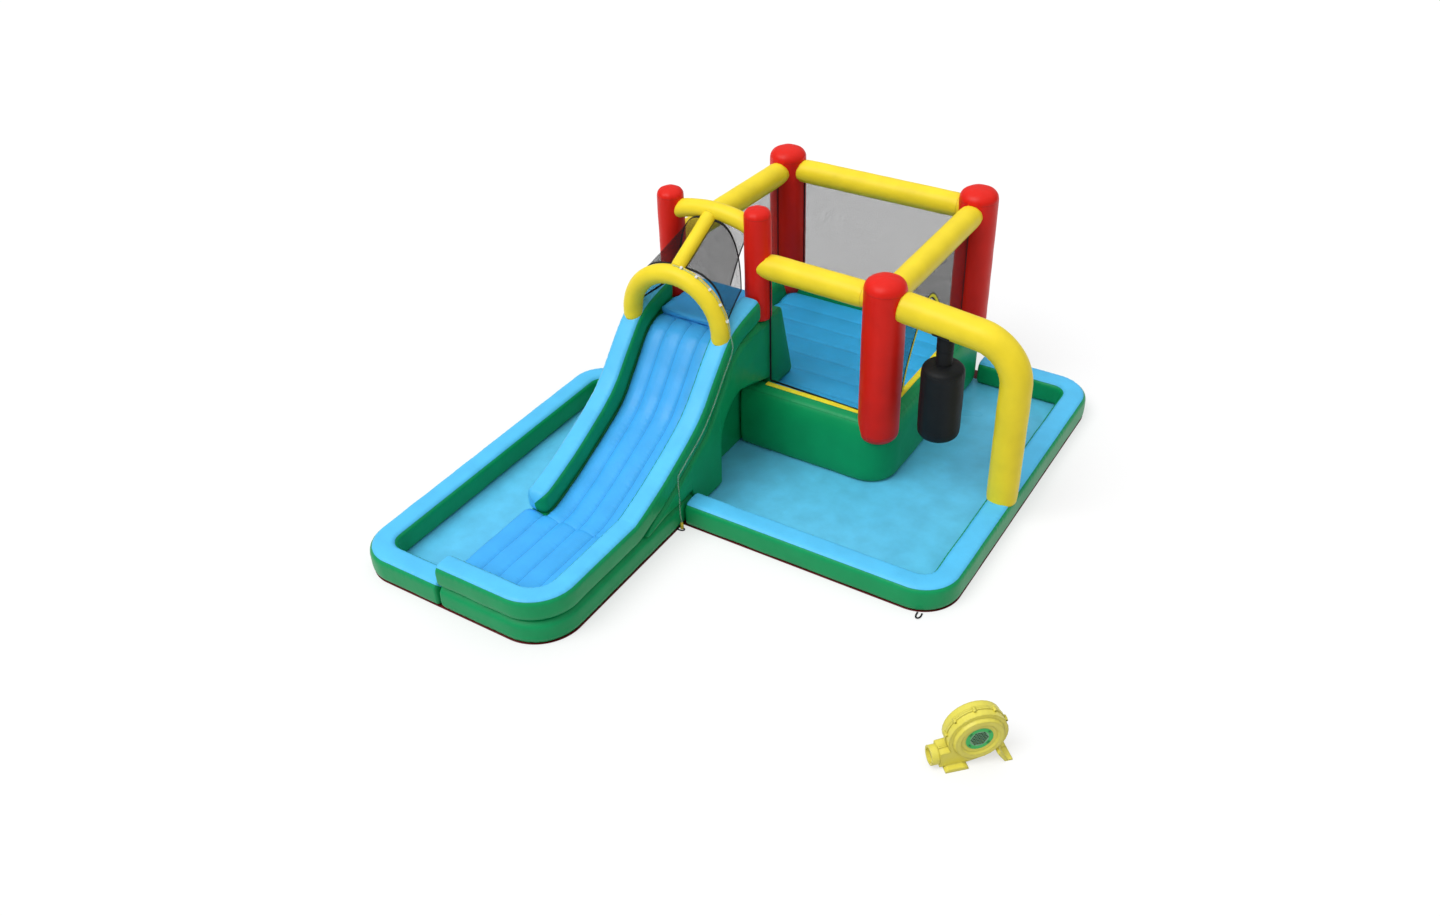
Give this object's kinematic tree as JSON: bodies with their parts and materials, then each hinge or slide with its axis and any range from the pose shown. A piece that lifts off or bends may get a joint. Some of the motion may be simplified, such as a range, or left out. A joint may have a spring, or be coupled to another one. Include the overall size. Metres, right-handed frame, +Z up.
{
  "type": "inflatable water slide",
  "caption": "Inflatable play centre: channelled water slide with rails and spray arch, two shallow pools, netted bounce room, punching bag on an arch, and a separate blower.",
  "frame": {"origin": "on the ground under the sheet, at the middle of the inflatable's own footprint, the blower not counted", "axes": "+Z up, +Y from the slide's foot towards the bounce room at the back, +X to the right as seen from the front"},
  "size_m": [4.8173, 4.783, 2.06],
  "materials": {
    "base_vinyl": "coated",
    "pool_vinyl": "coated",
    "wall_vinyl": "coated",
    "side_vinyl": "coated",
    "slide_vinyl": "coated",
    "floor_vinyl": "coated",
    "column_vinyl": "coated",
    "beam_vinyl": "coated",
    "edge_vinyl": "coated",
    "netting": "woven",
    "webbing": "woven",
    "bag_vinyl": "coated",
    "hose_rubber": "smooth",
    "fitting": "moulded",
    "clip": "moulded",
    "blower_shell": "moulded",
    "blower_grille": "moulded",
    "impeller": "moulded",
    "switch": "moulded"
  },
  "bodies": {
    "inflatable": {"ground_sheet": "base_vinyl", "left_pool_floor": "pool_vinyl", "right_pool_floor": "pool_vinyl", "left_pool_wall": "wall_vinyl", "right_pool_wall": "wall_vinyl", "lane_lower_tube": "side_vinyl", "right_rail": "wall_vinyl", "left_rail": "wall_vinyl", "slide_mattress": "slide_vinyl", "runout_mattress": "slide_vinyl", "slide_body": "slide_vinyl", "right_side_panel": "side_vinyl", "left_side_panel": "side_vinyl", "back_left_column": "column_vinyl", "back_right_column": "column_vinyl", "front_right_column": "column_vinyl", "slide_left_column": "column_vinyl", "slide_right_column": "column_vinyl", "platform_deck": "slide_vinyl", "climbing_wall": "side_vinyl", "climbing_ladder": "webbing", "base_front_tube": "side_vinyl", "base_right_tube": "side_vinyl", "base_back_tube": "side_vinyl", "base_left_tube": "side_vinyl", "bounce_floor": "floor_vinyl", "front_edge_strip": "edge_vinyl", "right_edge_strip": "edge_vinyl", "back_beam": "beam_vinyl", "right_beam": "beam_vinyl", "front_beam": "beam_vinyl", "left_beam": "beam_vinyl", "swing_arch": "beam_vinyl", "tunnel_arch": "beam_vinyl", "spray_arch": "beam_vinyl", "ridge_tube": "beam_vinyl", "left_canopy_net": "netting", "right_canopy_net": "netting", "back_net": "netting", "right_net": "netting", "left_net": "netting", "front_net": "netting", "bag_hanger": "webbing", "water_hose": "hose_rubber", "hose_connector": "fitting", "hose_clip_1": "clip", "hose_clip_2": "clip", "hose_clip_3": "clip", "hose_clip_4": "clip", "hose_clip_5": "clip", "inflation_sleeve": "side_vinyl", "blower_front_half": "blower_shell", "blower_back_half": "blower_shell", "blower_grille": "blower_grille", "blower_outlet": "blower_shell", "blower_motor": "blower_shell"},
    "link": {"bag_link": "webbing"},
    "bag": {"punching_bag": "bag_vinyl"},
    "impeller": {"blower_impeller": "impeller"},
    "rocker": {"blower_rocker": "switch"}
  },
  "joints": [
    {"name": "bag_swing_fore_aft", "type": "hinge", "parent": "inflatable", "child": "link", "pos_m": [1.325, 0.53, 1.41534], "axis": [1, 0, 0], "range_deg": [-50, 50]},
    {"name": "bag_swing_sideways", "type": "hinge", "parent": "link", "child": "bag", "pos_m": [1.325, 0.53, 1.26534], "axis": [0, 1, 0], "range_deg": [-18, 12]},
    {"name": "impeller_spin", "type": "hinge", "parent": "inflatable", "child": "impeller", "pos_m": [2.6, -1.7, 0.225], "axis": [-0.7071, 0.7071, 0], "continuous": true},
    {"name": "switch_rock", "type": "hinge", "parent": "inflatable", "child": "rocker", "pos_m": [2.61969, -1.57827, 0.325], "axis": [0.7071, 0.7071, 0], "range_deg": [-8, 8]}
  ]
}
